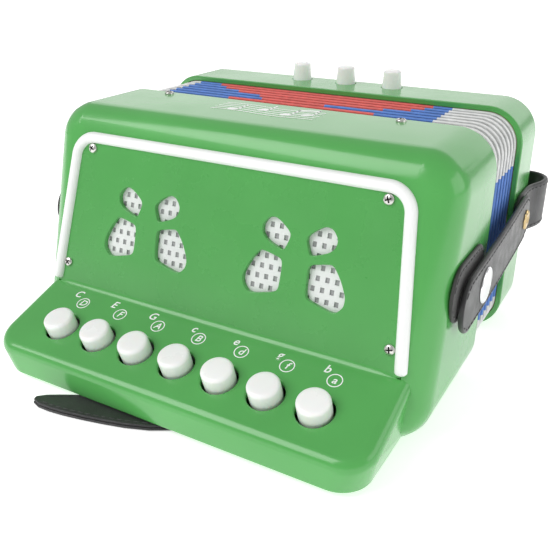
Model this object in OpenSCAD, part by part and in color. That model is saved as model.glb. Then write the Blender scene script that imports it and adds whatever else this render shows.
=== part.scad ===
// Toy button accordion: two moulded casings joined by a folding bellows, seven treble buttons on a sloping
// shelf, three bass buttons, two closing straps, a hand strap and a thumb strap.
// X runs along the button row, Y from the treble end (-) to the bass end (+), Z up. Millimetres.

/* [Casings] */
// Width of both casings, along the button row
case_w = 180; // [176:1:190]
// Height of both casings
case_h = 103; // [100:1:108]
// Radius of the long corners of both casings
corner_r = 16; // [14:1:18]
// Wall thickness of the mouldings
wall = 2.2; // [2:0.1:2.6]
// Y of the treble casing's rim, where the bellows start
join_y = 10.5; // [10:0.1:11]
// Depth of the bass casing
bass_d = 32; // [32:1:36]
// Radius of the rounding round the treble front
front_r = 12; // [11:1:13]
// Radius of the rounding round the bass back
back_r = 7; // [5:0.5:7.5]

/* [Front panel and shelf] */
// Lean of the front panel from upright, degrees
panel_tilt = 15; // [14:0.5:16]
// Height of the crease between panel and shelf
crease_z = 28.6; // [28:0.1:29]
// Thickness of the front panel
panel_t = 2.2; // [1.8:0.1:2.4]
// Slope of the button shelf, degrees
shelf_tilt = 19; // [18:0.5:20]
// Width of the button shelf
shelf_w = 168; // [166:1:170]
// Radius of the shelf's front corners, seen from above
shelf_r = 12; // [11:1:13]
// Radius of the shelf's rounded top edge
shelf_edge_r = 4.5; // [4:0.5:5]
// From the middle of the button row down the slope to the shelf's front edge
shelf_front = 18; // [17.5:0.5:18.5]
// How far the shelf's sides and front lean in towards their foot
shelf_draft = 2.5; // [2:0.5:3]
// Height of the shelf's underside above the resting surface
shelf_lift = 2.6; // [2.5:0.1:3]

/* [Buttons] */
// Number of treble buttons
treble_count = 7; // [7:1:7]
// Spacing of the treble buttons
treble_pitch = 19.4; // [19:0.1:19.8]
// Diameter of a treble button
treble_d = 12.3; // [12:0.1:12.6]
// Diameter of the hole round a treble button
treble_hole_d = 14.2; // [14:0.1:14.4]
// Height of a treble button above the shelf
treble_up = 5.5; // [5:0.1:6]
// Spacing of the bass buttons
bass_pitch = 23.7; // [23:0.1:24.5]
// Diameter of a bass button at its foot
bass_button_d = 9.2; // [9:0.1:9.6]
// Height of a bass button above the casing
bass_up = 8; // [7:0.5:8.5]

/* [Bellows] */
// Length of the closed bellows between the casings
bellows_len = 41; // [41:1:44]
// Number of pleats
pleats = 8; // [8:1:8]
// How far the bellows stand in from the casing's surface
bellows_inset = 2.6; // [2.4:0.1:3]
// Depth of the folds
fold_depth = 14; // [12:1:15]
// Gap between neighbouring fold rings when closed
fold_gap = 0.7; // [0.6:0.05:0.8]

/* [Straps] */
// Thickness of the leather
leather_t = 2; // [2:0.1:2.2]
// Width of the closing straps and the hand strap
strap_w = 22; // [20:1:23]
// Height of the middle of the closing straps
strap_z = 52; // [51:0.5:54]
// Height of the strap rivets
rivet_z = 54; // [53.5:0.5:54.5]

/* [Hidden] */
$fn = 48;
hull_fn = 28;

half_w = case_w / 2;
rim_y = join_y + bellows_len;
back_y = rim_y + bass_d;
// Panel plane: a local frame with its origin on the crease, x across, y up the panel, z outwards
panel_y_top = join_y - 41.7;
crease_y = panel_y_top - tan(panel_tilt) * (case_h - crease_z);
panel_top_v = (90.8 - crease_z) / cos(panel_tilt);
panel_top_half = 74.4;
panel_foot_half = 80;
panel_corner_r = 9;
bead_r = 2.3;
// Screws of the front panel, in the panel's frame
panel_screw_top = [65.9, 59.9];
panel_screw_foot = [74.7, 9.4];
grille_centre = 34.4;
screw_head_r = 2;
screw_shank_r = 1.2;
// Treble key frame: origin on the shelf surface at the middle of the row
row_y = -72;
row_z = crease_z - (crease_y - row_y) * tan(shelf_tilt);
pivot_arm = 38;
pivot_drop = 5.5;
pivot_y = row_y + pivot_arm * cos(shelf_tilt) + pivot_drop * sin(shelf_tilt);
pivot_z = row_z + pivot_arm * sin(shelf_tilt) - pivot_drop * cos(shelf_tilt);
rod_r = 1.5;
lever_w = 6;
post_x = 69;
pad_z = 62;
// Boards that close the two ends of the bellows
board_t = 3;
board_gap = 0.3;
treble_board_y = join_y - 6;
bass_board_y = rim_y + 0.7;
board_w = case_w - 2 * wall - 2 * board_gap;
board_h = case_h - 2 * wall - 2 * board_gap;
board_r = corner_r - wall - board_gap;
// Bellows
bellows_w = case_w - 2 * bellows_inset;
bellows_h = case_h - 2 * bellows_inset;
bellows_r = corner_r - bellows_inset;
pleat_pitch = bellows_len / pleats;
fold_t = pleat_pitch - fold_gap;
// Bass mechanism
bass_row_y = rim_y + 19;
valve_z = 78;
valve_t = 3;
pallet_r = 6.5;
stem_r = 2;
// Straps
rivet_y = join_y + 48;
stud_y = join_y - 16;
rivet_r = 2;
strap_in = half_w + 2.1;
strap_tip_y = join_y - 42;
hand_half = half_w + 5.5;
hand_out_y = 98.5;

// ---------- helpers ----------

// Rounded rectangle with true arcs, centred on x, standing on y = 0
module rounded_rect(w, h, r) {
    translate([-w / 2 + r, 0]) square([w - 2 * r, h]);
    translate([-w / 2, r]) square([w, h - 2 * r]);
    for (x = [-w / 2 + r, w / 2 - r]) for (y = [r, h - r]) translate([x, y]) circle(r);
}

// Slab of the casing's cross-section, inset by a margin, from y0 to y1
module section_slab(y0, y1, inset) {
    translate([0, y1, inset]) rotate([90, 0, 0]) linear_extrude(y1 - y0)
        rounded_rect(case_w - 2 * inset, case_h - 2 * inset, corner_r - inset);
}

// Round disc with a rolled edge, lying in the xy plane
module rolled_disc(major, minor) {
    rotate_extrude($fn = hull_fn) intersection() {
        translate([major, 0]) circle(minor, $fn = hull_fn);
        translate([0, -minor]) square([major + minor, 2 * minor]);
    }
}

// Places children in the panel's frame
module on_panel() {
    translate([0, crease_y, crease_z]) rotate([90 - panel_tilt, 0, 0]) children();
}

// Places children in the key frame of the shelf at a given x
module on_shelf(x) {
    translate([x, row_y, row_z]) rotate([shelf_tilt, 0, 0]) children();
}

function key_x(i) = (i - (treble_count + 1) / 2) * treble_pitch;
function bass_x(i) = (i - 2) * bass_pitch;
function fold_y(i) = join_y + i * pleat_pitch;

// Outline of the front panel, grown by a margin: straight legs, two arcs and a straight top
function panel_outline(grow) = let (lean = atan((panel_foot_half - panel_top_half) / panel_top_v),
    r = panel_corner_r + grow, cx = panel_top_half - panel_corner_r, cy = panel_top_v - panel_corner_r)
    concat([[panel_foot_half + grow, 0.2 - grow]],
        [for (a = [lean : (90 - lean) / 8 : 90.01]) [cx + r * cos(a), cy + r * sin(a)]],
        [for (a = [90 : (90 - lean) / 8 : 180.01 - lean]) [-cx + r * cos(a), cy + r * sin(a)]],
        [[-panel_foot_half - grow, 0.2 - grow]]);

// Cross-head screw with its head on z = 0, pointing down
module screw(length) {
    difference() {
        intersection() {
            translate([0, 0, -1.9]) sphere(3.2);
            cylinder(h = 2, r = screw_head_r);
        }
        translate([-1.3, -0.3, 0.8]) cube([2.6, 0.6, 1]);
        translate([-0.3, -1.3, 0.8]) cube([0.6, 2.6, 1]);
    }
    translate([0, 0, -length]) cylinder(h = length + 0.1, r = screw_shank_r);
}

// ---------- treble casing ----------

module casing_front_hull(inset) {
    r = front_r - inset;
    x = half_w - corner_r;
    hull() {
        section_slab(join_y - 1, join_y, inset);
        for (z = [corner_r, case_h - corner_r])
            for (side = [-1, 1])
                translate([side * x, panel_y_top - tan(panel_tilt) * (case_h - z) + front_r / cos(panel_tilt), z])
                    rotate([90 - panel_tilt, 0, 0]) rolled_disc(corner_r - front_r, r);
    }
}

// The shelf's outer form, or its cavity when inset is the wall thickness
module shelf_hull(inset) {
    r = shelf_edge_r - inset;
    front_y = row_y - shelf_front * cos(shelf_tilt) + shelf_draft;
    foot_half = shelf_w / 2 - shelf_draft;
    hull() {
        for (side = [-1, 1]) {
            on_shelf(side * (shelf_w / 2 - shelf_r)) translate([0, shelf_r - shelf_front, -shelf_edge_r])
                rolled_disc(shelf_r - shelf_edge_r, r);
            translate([side * (foot_half - shelf_r), front_y + shelf_r, shelf_lift + inset])
                cylinder(h = 1, r = shelf_r - inset, $fn = hull_fn);
            on_shelf(side * (shelf_w / 2 - shelf_edge_r)) translate([0, 27, -shelf_edge_r])
                sphere(r, $fn = hull_fn);
            translate([side * (foot_half - shelf_edge_r), -44, shelf_lift + inset])
                cylinder(h = 1, r = r, $fn = hull_fn);
        }
    }
}

module pivot_posts() {
    for (side = [-1, 1])
        difference() {
            translate([side * post_x - 2.5, pivot_y - 5, 1]) cube([5, 10, pivot_z + 3]);
            translate([side * post_x - 4, pivot_y, pivot_z]) rotate([0, 90, 0]) cylinder(h = 8, r = rod_r);
        }
}

// Lugs behind the panel that take its screws, each grown out of the nearest wall
module panel_lugs() {
    on_panel() for (side = [0, 1]) mirror([side, 0, 0]) {
        translate([panel_screw_top[0] - 4, panel_screw_top[1] - 5, -panel_t - 5]) cube([8, 24, 5]);
        translate([panel_screw_foot[0] - 4, panel_screw_foot[1] - 4, -panel_t - 5]) cube([18, 8, 5]);
    }
}

module treble_casing() {
    color("forestgreen") {
        difference() {
            union() {
                casing_front_hull(0);
                shelf_hull(0);
            }
            difference() {
                casing_front_hull(wall);
                panel_lugs();
                pivot_posts();
            }
            shelf_hull(wall);
            section_slab(join_y - 2, join_y + 1, wall);
            on_panel() translate([0, 0, -panel_t]) linear_extrude(10) polygon(panel_outline(0.2));
            for (i = [1 : treble_count])
                on_shelf(key_x(i)) translate([0, 0, -10]) cylinder(h = 20, r = treble_hole_d / 2);
            on_panel() for (side = [-1, 1]) for (p = [panel_screw_top, panel_screw_foot])
                translate([side * p[0], p[1], -8]) cylinder(h = 8, r = screw_shank_r);
            for (x = casing_screw_x()) translate([x, casing_screw_y(), case_h - 6])
                cylinder(h = 10, r = screw_shank_r);
            for (p = thumb_screw_places()) translate([p[0], p[1], 0]) cylinder(h = 8, r = screw_shank_r);
        }
    }
}

function casing_screw_x() = [-57, 53];
function casing_screw_y() = treble_board_y + board_t / 2;
function thumb_screw_places() = [[8, -72], [14, -64]];

// ---------- front panel, bead, mesh, screws ----------

// One group of four sound holes: two small upper lobes and two larger lower lobes
module sound_holes() {
    upper = [[3, 41.6], [7.5, 45.3], [10.4, 46.7], [13.2, 46.1], [15.4, 42.9], [14.9, 39.8], [12.5, 37.5],
        [5.6, 35], [4.6, 36.9]];
    lower = [[5.3, 30.4], [6.4, 32.1], [14, 33.7], [15.5, 33.1], [18.6, 28.8], [21.2, 23.2], [21, 19.7],
        [18.6, 17], [16, 16.7], [7, 19], [5.6, 20.5]];
    for (side = [0, 1]) mirror([side, 0]) {
        polygon(upper);
        polygon(lower);
    }
}

module grille_panel() {
    color("limegreen") on_panel() difference() {
        translate([0, 0, -panel_t]) linear_extrude(panel_t) polygon(panel_outline(-0.1));
        for (side = [-1, 1]) translate([side * grille_centre, 0, -panel_t - 1]) linear_extrude(panel_t + 2)
            sound_holes();
        for (side = [-1, 1]) for (p = [panel_screw_top, panel_screw_foot])
            translate([side * p[0], p[1], -panel_t - 1]) cylinder(h = panel_t + 2, r = screw_shank_r + 0.1);
    }
}

// One layer of the bead: a band along the panel's outline, open at the foot
module bead_layer(half_width, z0, z1) {
    translate([0, 0, z0]) linear_extrude(z1 - z0) difference() {
        polygon(panel_outline(half_width));
        polygon(panel_outline(-half_width));
        translate([-case_w, -10]) square([2 * case_w, 11]);
    }
}

// Rounded bead over the joint between panel and casing
module trim_bead() {
    color("white") on_panel() {
        bead_layer(bead_r, 0, 1.2);
        bead_layer(bead_r * 0.8, 1, 1.8);
        bead_layer(bead_r * 0.5, 1.6, bead_r);
    }
}

module grille_mesh() {
    color("gainsboro") on_panel() for (side = [-1, 1])
        translate([side * grille_centre - 25, 13, -panel_t - 0.8]) cube([50, 37, 0.8]);
}

module panel_screws() {
    color("silver") on_panel() for (side = [-1, 1]) for (p = [panel_screw_top, panel_screw_foot])
        translate([side * p[0], p[1], 0]) screw(7);
}

module casing_screws() {
    color("silver") for (x = casing_screw_x()) translate([x, casing_screw_y(), case_h]) screw(5.5);
}

// ---------- treble buttons and levers ----------

module treble_button(i) {
    r = treble_d / 2;
    color("white") on_shelf(key_x(i)) rotate_extrude() polygon(concat([[0, -4]], [[r, -4]],
        [for (a = [0 : 15 : 75]) [r - 1.2 + 1.2 * cos(a), treble_up - 1.4 + 1.2 * sin(a)]],
        [[r - 1.4, treble_up - 0.2], [0, treble_up]]));
}

module treble_lever(i) {
    arm_y = treble_board_y - board_gap - 3 - pivot_y;
    arm_z = pad_z - pivot_z;
    arm_a = atan2(arm_z, arm_y);
    arm_l = sqrt(arm_y * arm_y + arm_z * arm_z);
    color("dimgray") difference() {
        union() {
            on_shelf(key_x(i)) {
                translate([-lever_w / 2, -5, -7]) cube([lever_w, pivot_arm + 3, 3]);
            }
            translate([key_x(i) - lever_w / 2, pivot_y, pivot_z]) rotate([0, 90, 0]) cylinder(h = lever_w, r = 4);
            translate([key_x(i) - lever_w / 2, pivot_y, pivot_z]) rotate([arm_a, 0, 0])
                translate([0, 1, -1.5]) cube([lever_w, arm_l - 1, 3]);
            translate([key_x(i) - 6, treble_board_y - board_gap - 4, pad_z - 7]) cube([12, 4, 14]);
        }
        translate([key_x(i) - lever_w, pivot_y, pivot_z]) rotate([0, 90, 0])
            cylinder(h = 2 * lever_w, r = rod_r + 0.05);
    }
}

module treble_pivot_rod() {
    color("silver") translate([-post_x - 2.5, pivot_y, pivot_z]) rotate([0, 90, 0])
        cylinder(h = 2 * post_x + 5, r = rod_r);
}

// Torsion spring beside each lever: a coil on the rod and a leg that bears on the floor of the casing
module treble_return_springs() {
    color("gray") for (i = [1 : treble_count]) translate([key_x(i) + lever_w / 2 + 0.6, pivot_y, pivot_z]) {
        rotate([0, 90, 0]) difference() {
            cylinder(h = 4, r = 2.8);
            translate([0, 0, -1]) cylinder(h = 6, r = 1.9);
        }
        translate([2, 2.3, 0]) rotate([180 - 12, 0, 0]) cylinder(h = pivot_z - wall - 1, r = 0.5);
    }
}

// ---------- reed boards ----------

module board(y) {
    translate([0, y + board_t, wall + board_gap]) rotate([90, 0, 0]) linear_extrude(board_t)
        rounded_rect(board_w, board_h, board_r);
}

module treble_reed_board() {
    color("burlywood") difference() {
        board(treble_board_y);
        for (i = [1 : treble_count])
            translate([key_x(i) - 3.5, treble_board_y - 1, pad_z - 4.5]) cube([7, board_t + 2, 9]);
        for (x = casing_screw_x()) translate([x, casing_screw_y(), case_h - 6])
            cylinder(h = 10, r = screw_shank_r - 0.1);
    }
}

// Reed plate: brass plate with two slots, each with a tongue
module reed_plate(w, h) {
    difference() {
        cube([w, 1.2, h]);
        for (x = [w * 0.28, w * 0.72]) translate([x - 1.2, -1, h * 0.12]) cube([2.4, 3, h * 0.7]);
    }
    for (x = [w * 0.28, w * 0.72]) translate([x - 0.9, 0.9, h * 0.12]) cube([1.8, 0.4, h * 0.76]);
}

module treble_reed_plates() {
    color("goldenrod") for (i = [1 : treble_count])
        translate([key_x(i) - 6, treble_board_y + board_t, pad_z - 12]) reed_plate(12, 24 - i);
}

// ---------- bellows ----------

module fold_ring(y0, y1) {
    color("royalblue") translate([0, y1, bellows_inset]) rotate([90, 0, 0]) linear_extrude(y1 - y0)
        difference() {
            rounded_rect(bellows_w, bellows_h, bellows_r);
            translate([0, fold_depth]) rounded_rect(bellows_w - 2 * fold_depth, bellows_h - 2 * fold_depth, 4);
        }
}

module bellows_end_treble() { fold_ring(treble_board_y + board_t, join_y + fold_t / 2); }

module bellows_fold(i) { fold_ring(fold_y(i) - fold_t / 2, fold_y(i) + fold_t / 2); }

module bellows_end_bass() { fold_ring(rim_y - fold_t / 2, bass_board_y); }

// ---------- bass end ----------

module bass_hull(inset) {
    r = back_r - inset;
    hull() {
        section_slab(rim_y, rim_y + 1, inset);
        for (z = [corner_r, case_h - corner_r]) for (side = [-1, 1])
            translate([side * (half_w - corner_r), back_y - back_r, z])
                rotate([90, 0, 0]) rolled_disc(corner_r - back_r, r);
    }
}

module bass_casing() {
    color("forestgreen") difference() {
        bass_hull(0);
        bass_hull(wall);
        section_slab(rim_y - 1, rim_y + 2, wall);
        for (i = [1 : 3]) translate([bass_x(i), bass_row_y, case_h - 10])
            cylinder(h = 20, r = bass_button_d / 2 + 0.3);
        for (side = [-1, 1]) translate([side * half_w, rivet_y, rivet_z]) rotate([0, 90, 0])
            cylinder(h = 12, r = rivet_r, center = true);
    }
}

module bass_reed_board() {
    color("burlywood") difference() {
        board(bass_board_y);
        for (i = [1 : 3]) translate([bass_x(i) - 3.5, bass_board_y - 1, 44]) cube([7, board_t + 2, 9]);
    }
}

module bass_reed_plates() {
    color("goldenrod") for (i = [1 : 3])
        translate([bass_x(i) - 7, bass_board_y - 1.3, 34]) reed_plate(14, 27);
}

// Ledge glued to the reed board, with a hole over each pallet
module bass_valve_plate() {
    y0 = bass_board_y + board_t;
    color("burlywood") difference() {
        translate([-48, y0, valve_z]) cube([96, back_y - wall - 0.4 - y0, valve_t]);
        for (i = [1 : 3]) translate([bass_x(i), bass_row_y, valve_z - 1]) cylinder(h = valve_t + 2, r = 4.5);
    }
}

// Tapered cap on a stem with a collar under the casing's top wall
module bass_button(i) {
    r = bass_button_d / 2;
    foot = case_h - wall - 1.5;
    color("white") translate([bass_x(i), bass_row_y, 0]) rotate_extrude() polygon([[0, valve_z - 0.3],
        [stem_r, valve_z - 0.3], [stem_r, foot - 3], [r, foot - 3], [r, case_h + 0.5],
        [r - 0.7, case_h + bass_up - 1.2], [r - 1.1, case_h + bass_up - 0.4],
        [r - 1.9, case_h + bass_up], [0, case_h + bass_up]]);
}

module bass_pallet(i) {
    color("tan") translate([bass_x(i), bass_row_y, valve_z - 3.3]) cylinder(h = 3, r = pallet_r);
}

module bass_return_springs() {
    color("gray") for (i = [1 : 3]) translate([bass_x(i), bass_row_y, valve_z + valve_t]) difference() {
        cylinder(h = 10, r = 3.9);
        translate([0, 0, -1]) cylinder(h = 12, r = 2.9);
        translate([0, 0, 1.6]) cylinder(h = 1.2, r = 6);
    }
}

// ---------- straps ----------

// Plate lying in the plane x = x0, from an outline in y and z
module side_plate(x0, t) {
    translate([x0, 0, 0]) rotate([90, 0, 90]) linear_extrude(t) children();
}

module strap_outline() {
    r = strap_w / 2;
    translate([strap_tip_y + r, strap_z - 1]) circle(r);
    translate([strap_tip_y + r, strap_z - 1 - r]) square([rivet_y + 8 - strap_tip_y - 2 * r, strap_w]);
    translate([rivet_y + 8 - r, strap_z - 1]) circle(r);
}

// Closing strap of the right side
module closing_strap() {
    color("black") difference() {
        side_plate(strap_in, leather_t) strap_outline();
        translate([half_w, rivet_y, rivet_z]) rotate([0, 90, 0]) cylinder(h = 12, r = rivet_r + 0.05);
    }
}

module side_strap_right() { closing_strap(); }

module side_strap_left() { mirror([1, 0, 0]) closing_strap(); }

// Cap of the press stud on the outside of the strap
module stud_cap() {
    color("silver") translate([strap_in + leather_t, stud_y, strap_z - 3]) rotate([0, 90, 0])
        rotate_extrude() polygon([[0, 0], [6.8, 0], [7, 0.5], [6.4, 1.2], [4, 1.5], [0, 1.6]]);
}

module press_stud_right() { stud_cap(); }

module press_stud_left() { mirror([1, 0, 0]) stud_cap(); }

// Leather tabs glued to the treble casing under the strap ends
module strap_tabs() {
    color("black") for (side = [0, 1]) mirror([side, 0, 0]) side_plate(half_w, 1.2) {
        translate([strap_tip_y + 6, strap_z + 2]) circle(11);
        translate([strap_tip_y + 6, strap_z - 9]) square([16, 22]);
        translate([strap_tip_y + 22, strap_z + 2]) circle(11);
    }
}

// Fixed half of the press stud, on the tab
module stud_posts() {
    color("silver") for (side = [0, 1]) mirror([side, 0, 0])
        translate([half_w + 1.2, stud_y, strap_z - 3]) rotate([0, 90, 0]) cylinder(h = 0.6, r = 4);
}

// Rivets through the closing strap, the hand strap and the bass casing's side
module strap_rivets() {
    color("goldenrod") for (side = [0, 1]) mirror([side, 0, 0])
        translate([half_w - wall - 1, rivet_y, rivet_z]) rotate([0, 90, 0]) rotate_extrude()
            polygon([[0, 0], [3, 0], [3, 1], [rivet_r, 1], [rivet_r, wall + leather_t * 2 + 1.4],
                [4, wall + leather_t * 2 + 1.4], [3.6, wall + leather_t * 2 + 2.2],
                [2, wall + leather_t * 2 + 2.7], [0, wall + leather_t * 2 + 2.8]]);
}

// Hand strap across the bass end: held at both rivets, bowed out round the corners for a hand
module hand_strap() {
    corner = 9;
    cx = hand_half - corner;
    cy = hand_out_y - leather_t / 2 - corner;
    side = concat([[half_w + leather_t / 2, rivet_y - 7], [half_w + leather_t / 2, rivet_y + 9]],
        [[half_w + 2.2, rivet_y + 16], [hand_half - 1, rivet_y + 22]],
        [for (a = [0 : 15 : 90]) [cx + corner * cos(a), cy + corner * sin(a)]]);
    path = concat(side, [for (i = [len(side) - 1 : -1 : 0]) [-side[i][0], side[i][1]]]);
    n = len(path) - 1;
    normals = [for (i = [0 : n]) let (d = path[min(i + 1, n)] - path[max(i - 1, 0)]) [d[1], -d[0]] / norm(d)];
    half_t = leather_t / 2;
    color("black") difference() {
        translate([0, 0, rivet_z - strap_w / 2]) linear_extrude(strap_w) polygon(concat(
            [for (i = [0 : n]) path[i] + half_t * normals[i]],
            [for (i = [n : -1 : 0]) path[i] - half_t * normals[i]]));
        for (side_x = [-1, 1]) translate([side_x * half_w, rivet_y, rivet_z]) rotate([0, 90, 0])
            cylinder(h = 12, r = rivet_r, center = true);
    }
}

// Thumb strap: a leather loop screwed under the shelf, lying flat in front of it
module thumb_strap() {
    color("black") difference() {
        translate([0, 0, 0.3]) linear_extrude(leather_t + 0.2) polygon([[24, -58], [22, -70], [8, -80],
            [-3, -86], [-8, -91], [-17, -93.5], [-28, -95.5], [-40, -98.5], [-47, -98.2], [-51.5, -96.8],
            [-53.8, -94.3], [-52, -91.5], [-40, -85], [-20, -76], [2, -66], [14, -56]]);
        for (p = thumb_screw_places()) translate([p[0], p[1], -1]) cylinder(h = 8, r = screw_shank_r);
    }
}

module thumb_strap_screws() {
    color("silver") for (p = thumb_screw_places()) translate([p[0], p[1], 0.3]) {
        cylinder(h = 5, r = screw_shank_r);
    }
}

// ---------- nodes ----------

treble_casing();
grille_panel();
trim_bead();
grille_mesh();
panel_screws();
casing_screws();
treble_button(1);  // treble_button_1
treble_button(2);  // treble_button_2
treble_button(3);  // treble_button_3
treble_button(4);  // treble_button_4
treble_button(5);  // treble_button_5
treble_button(6);  // treble_button_6
treble_button(7);  // treble_button_7
treble_lever(1);  // treble_lever_1
treble_lever(2);  // treble_lever_2
treble_lever(3);  // treble_lever_3
treble_lever(4);  // treble_lever_4
treble_lever(5);  // treble_lever_5
treble_lever(6);  // treble_lever_6
treble_lever(7);  // treble_lever_7
treble_pivot_rod();
treble_return_springs();
treble_reed_board();
treble_reed_plates();
bellows_end_treble();
bellows_fold(1);  // bellows_fold_1
bellows_fold(2);  // bellows_fold_2
bellows_fold(3);  // bellows_fold_3
bellows_fold(4);  // bellows_fold_4
bellows_fold(5);  // bellows_fold_5
bellows_fold(6);  // bellows_fold_6
bellows_fold(7);  // bellows_fold_7
bellows_end_bass();
bass_casing();
bass_reed_board();
bass_reed_plates();
bass_valve_plate();
bass_button(1);  // bass_button_1
bass_button(2);  // bass_button_2
bass_button(3);  // bass_button_3
bass_pallet(1);  // bass_pallet_1
bass_pallet(2);  // bass_pallet_2
bass_pallet(3);  // bass_pallet_3
bass_return_springs();
side_strap_right();
side_strap_left();
press_stud_right();
press_stud_left();
strap_tabs();
stud_posts();
strap_rivets();
hand_strap();
thumb_strap();
thumb_strap_screws();
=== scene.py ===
import math
import random

import bmesh
import bpy
from mathutils import Matrix, Vector


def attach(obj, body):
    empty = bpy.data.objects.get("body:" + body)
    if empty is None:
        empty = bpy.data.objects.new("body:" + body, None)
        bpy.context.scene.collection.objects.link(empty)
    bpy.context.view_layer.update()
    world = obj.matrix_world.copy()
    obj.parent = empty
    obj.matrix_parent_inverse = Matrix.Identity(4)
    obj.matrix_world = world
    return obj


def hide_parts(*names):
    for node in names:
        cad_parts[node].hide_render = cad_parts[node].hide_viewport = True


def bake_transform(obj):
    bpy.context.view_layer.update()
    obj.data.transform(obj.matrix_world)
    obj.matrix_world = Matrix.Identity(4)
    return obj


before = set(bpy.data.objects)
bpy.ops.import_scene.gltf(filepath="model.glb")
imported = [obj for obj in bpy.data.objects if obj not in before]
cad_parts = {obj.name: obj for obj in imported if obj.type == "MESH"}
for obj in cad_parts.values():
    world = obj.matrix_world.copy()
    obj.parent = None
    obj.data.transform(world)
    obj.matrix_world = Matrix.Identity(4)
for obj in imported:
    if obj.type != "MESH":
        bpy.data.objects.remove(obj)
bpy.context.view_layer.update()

random.seed(7)

# ---------- dimensions, millimetres, as in the CAD ----------
HALF_W, CASE_H, CORNER_R, WALL = 90.0, 103.0, 16.0, 2.2
JOIN_Y, RIM_Y, BACK_Y = 10.5, 51.5, 83.5
FRONT_R, BACK_R, TILT = 12.0, 7.0, math.radians(15)
CREASE_Z, CREASE_Y, PANEL_Y_TOP, PANEL_T = 28.6, -51.135, -31.2, 2.2
SHELF_TILT, SHELF_W, SHELF_R, SHELF_EDGE = math.radians(19), 168.0, 12.0, 4.5
SHELF_FRONT, SHELF_DRAFT, SHELF_LIFT, ROW_Y, ROW_Z = 18.0, 2.5, 2.6, -72.0, 21.416
PITCH, HOLE_R, PLEAT = 19.4, 7.1, 5.125
INSET = 2.6  # bellows surface inside the casings' outline
BASS_ROW_Y, BASS_PITCH = 70.5, 23.7
RIVET_Y, RIVET_Z, STUD_Y, STUD_Z = 58.5, 54.0, -5.5, 49.0
PANEL_FOOT, PANEL_HEAD, PANEL_H, PANEL_R = 80.0, 74.4, 64.39, 9.0  # half widths, height, corner
GRILLE_X, GRILLE_HALF, GRILLE_FOOT, GRILLE_HEAD = 34.4, 25.0, 13.0, 50.0
SCREW_HEAD, SCREW_FOOT, CASING_SCREWS_X = (65.9, 59.9), (74.7, 9.4), (-57, 53)
STRAP_HALF, STRAP_T, TAB_T = 11.0, 2.0, 1.2


def key_x(i):
    return (i - 4) * PITCH


def panel_matrix():
    return Matrix.Translation((0, CREASE_Y, CREASE_Z)) @ Matrix.Rotation(math.pi / 2 - TILT, 4, "X")


def shelf_matrix(x=0.0):
    return Matrix.Translation((x, ROW_Y, ROW_Z)) @ Matrix.Rotation(SHELF_TILT, 4, "X")


# ---------- materials ----------

def new_material(name, color, rough, metallic=0.0, coat=0.0, sheen=0.0, sub=0.0):
    m = bpy.data.materials.new(name)
    m.use_nodes = True
    m.diffuse_color = (*color, 1)
    b = m.node_tree.nodes["Principled BSDF"]
    b.inputs["Base Color"].default_value = (*color, 1)
    b.inputs["Roughness"].default_value = rough
    b.inputs["Metallic"].default_value = metallic
    b.inputs["Coat Weight"].default_value = coat
    b.inputs["Coat Roughness"].default_value = 0.08
    b.inputs["Sheen Weight"].default_value = sheen
    b.inputs["Subsurface Weight"].default_value = sub
    b.inputs["Subsurface Scale"].default_value = 0.002
    return m


def add(m, kind, **values):
    n = m.node_tree.nodes.new(kind)
    for k, v in values.items():
        setattr(n, k, v)
    return n


def coordinates(m, stretch=(1, 1, 1)):
    tc = add(m, "ShaderNodeTexCoord")
    mp = add(m, "ShaderNodeMapping")
    mp.inputs["Scale"].default_value = stretch
    m.node_tree.links.new(tc.outputs["Object"], mp.inputs["Vector"])
    return mp.outputs["Vector"]


def noise(m, vector, scale, detail=4.0, rough=0.55):
    n = add(m, "ShaderNodeTexNoise")
    n.inputs["Scale"].default_value = scale
    n.inputs["Detail"].default_value = detail
    n.inputs["Roughness"].default_value = rough
    m.node_tree.links.new(vector, n.inputs["Vector"])
    return n.outputs["Fac"]


def vary_color(m, fac, dark, light, low=0.3, high=0.7):
    r = add(m, "ShaderNodeValToRGB")
    r.color_ramp.elements[0].position = low
    r.color_ramp.elements[1].position = high
    r.color_ramp.elements[0].color = (*dark, 1)
    r.color_ramp.elements[1].color = (*light, 1)
    m.node_tree.links.new(fac, r.inputs["Fac"])
    m.node_tree.links.new(r.outputs["Color"], m.node_tree.nodes["Principled BSDF"].inputs["Base Color"])


def vary_rough(m, fac, low, high):
    r = add(m, "ShaderNodeMapRange")
    r.inputs["From Min"].default_value = 0.3
    r.inputs["From Max"].default_value = 0.7
    r.inputs["To Min"].default_value = low
    r.inputs["To Max"].default_value = high
    m.node_tree.links.new(fac, r.inputs["Value"])
    m.node_tree.links.new(r.outputs["Result"], m.node_tree.nodes["Principled BSDF"].inputs["Roughness"])


def bump(m, heights):
    """Chains bumps: heights is a list of (socket, distance, strength)."""
    last = None
    for socket, distance, strength in heights:
        b = add(m, "ShaderNodeBump")
        b.inputs["Distance"].default_value = distance
        b.inputs["Strength"].default_value = strength
        m.node_tree.links.new(socket, b.inputs["Height"])
        if last is not None:
            m.node_tree.links.new(last, b.inputs["Normal"])
        last = b.outputs["Normal"]
    m.node_tree.links.new(last, m.node_tree.nodes["Principled BSDF"].inputs["Normal"])


def scaled(color, f):
    return tuple(min(1.0, c * f) for c in color)


def plastic(name, color, rough, coat=0.0, sub=0.0, grain=0.00002):
    m = new_material(name, color, rough, coat=coat, sub=sub)
    v = coordinates(m)
    vary_color(m, noise(m, v, 18, 3), scaled(color, 0.94), scaled(color, 1.05))
    vary_rough(m, noise(m, v, 55, 5), rough * 0.8, rough * 1.25)
    bump(m, [(noise(m, v, 30, 2), 0.00035, 0.22), (noise(m, v, 1600, 3), grain, 0.4)])
    return m


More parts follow.
